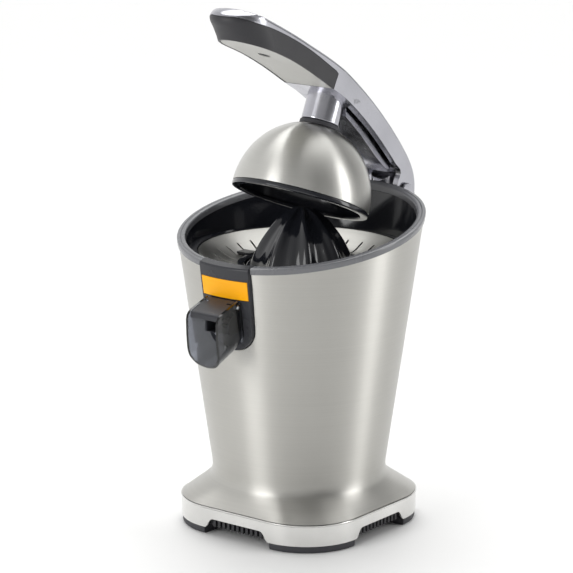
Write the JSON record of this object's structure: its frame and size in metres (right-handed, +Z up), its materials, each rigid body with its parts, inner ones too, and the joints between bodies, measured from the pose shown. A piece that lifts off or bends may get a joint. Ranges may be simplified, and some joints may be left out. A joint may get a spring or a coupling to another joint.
{
  "type": "citrus press juicer",
  "caption": "Electric citrus press with a flared steel body, a hinged lever arm carrying a pressing dome, a spinning reamer over a strainer and tray, and a drip-stop spout.",
  "frame": {"origin": "on the floor under the reamer's axis, in the middle of the machine's overall footprint", "axes": "+Z up along the reamer's axis, spout towards -Y, arm hinge at +Y, +X to the machine's left as seen from the front"},
  "size_m": [0.178, 0.2292, 0.3826],
  "materials": {
    "brushed_steel": "vertically brushed stainless sheet",
    "polished_band": "polished bright metal band",
    "arm_metal": "die-cast, polished bright",
    "grip_charcoal": "charcoal, satin",
    "plate_grey": "warm light grey, satin",
    "mid_grey": "mid grey, glossy moulding",
    "dark_gloss": "near-black, glossy moulding",
    "accent_yellow": "warm yellow, glossy, plain",
    "smoky_clear": "smoky clear plastic",
    "black_base": "black, fine grain",
    "foot_rubber": "black, matt",
    "zinc_steel": "zinc-plated steel",
    "nylon": "natural nylon",
    "bush_brass": "sintered bronze-coloured bush",
    "plunger_yellow": "moulded"
  },
  "bodies": {
    "housing": {"outer_shell": "brushed_steel", "rim_ring": "mid_grey", "well_liner": "dark_gloss", "base_band": "polished_band", "base_plate": "black_base", "foot_front_right": "foot_rubber", "foot_front_left": "foot_rubber", "foot_rear_right": "foot_rubber", "foot_rear_left": "foot_rubber", "cord_gland": "black_base", "hinge_post": "arm_metal", "motor_can": "zinc_steel", "motor_cap": "nylon", "gearbox_case": "nylon", "gearbox_cover": "nylon", "gearbox_screw_1": "zinc_steel", "gearbox_screw_2": "zinc_steel", "gearbox_screw_3": "zinc_steel", "idler_pin": "zinc_steel", "shaft_bush": "bush_brass", "shaft_seal": "foot_rubber", "microswitch": "black_base", "return_spring": "zinc_steel"},
    "arm": {"arm_casting": "arm_metal", "grip_band": "grip_charcoal", "grip_underplate": "plate_grey", "grip_screw": "zinc_steel", "arm_core": "arm_metal", "hinge_pin": "zinc_steel", "pin_cap_right": "arm_metal", "pin_cap_left": "arm_metal", "dome_collar": "black_base", "dome_screw": "zinc_steel"},
    "dome": {"press_dome": "brushed_steel", "dome_liner": "dark_gloss"},
    "output": {"output_gear": "nylon"},
    "idler": {"idler_gear": "nylon"},
    "rotor": {"motor_rotor": "zinc_steel"},
    "shaft": {"drive_shaft": "zinc_steel"},
    "plunger": {"switch_plunger": "plunger_yellow"},
    "cone": {"reamer_cone": "dark_gloss"},
    "tray": {"juice_tray": "dark_gloss", "front_panel": "mid_grey", "accent_plate": "accent_yellow", "spout_pin_right": "zinc_steel", "spout_pin_left": "zinc_steel"},
    "strainer_set": {"strainer": "brushed_steel", "strainer_hub": "dark_gloss"},
    "spout": {"spout_scoop": "smoky_clear", "spout_lid": "mid_grey"}
  },
  "joints": [
    {"name": "arm_hinge", "type": "hinge", "parent": "housing", "child": "arm", "pos_m": [0, 0.101, 0.228], "axis": [-1, 0, 0], "range_deg": [-24.24, 50]},
    {"name": "dome_twist", "type": "hinge", "parent": "arm", "child": "dome", "pos_m": [0, -0.00144, 0.2384], "axis": [0, 0.4106, 0.9118], "range_deg": [0, 30]},
    {"name": "cone_spin", "type": "hinge", "parent": "housing", "child": "output", "pos_m": [0, 0, 0.143], "axis": [0, 0, 1], "continuous": true},
    {"name": "idler_spin", "type": "hinge", "parent": "housing", "child": "idler", "pos_m": [-0.03, -0.018, 0.138], "axis": [0, 0, 1], "continuous": true},
    {"name": "rotor_spin", "type": "hinge", "parent": "housing", "child": "rotor", "pos_m": [0, -0.0305, 0.1], "axis": [0, 0, 1], "continuous": true},
    {"name": "shaft_press", "type": "slide", "parent": "output", "child": "shaft", "axis": [0, 0, -1], "range_m": [0, 0.0025], "stiffness_N_per_m": 800, "springref_m": -0.004, "deforming": ["return_spring"]},
    {"name": "switch_press", "type": "slide", "parent": "housing", "child": "plunger", "axis": [0, 0, -1], "range_m": [0, 0.0025]},
    {"name": "cone_lift", "type": "slide", "parent": "shaft", "child": "cone", "axis": [0, 0, 1], "range_m": [0, 0.02]},
    {"name": "tray_lift", "type": "slide", "parent": "housing", "child": "tray", "axis": [0, 0, 1], "range_m": [0, 0.013]},
    {"name": "strainer_lift", "type": "slide", "parent": "tray", "child": "strainer_set", "axis": [0, 0, 1], "range_m": [0, 0.02]},
    {"name": "spout_flip", "type": "hinge", "parent": "tray", "child": "spout", "pos_m": [0, -0.0905, 0.177], "axis": [-1, 0, 0], "range_deg": [0, 20]}
  ],
  "couplings": [
    {"joint": "idler_spin", "follows": "cone_spin", "ratio": -3.6667},
    {"joint": "rotor_spin", "follows": "cone_spin", "ratio": 12.222},
    {"joint": "switch_press", "follows": "shaft_press", "ratio": 1}
  ]
}
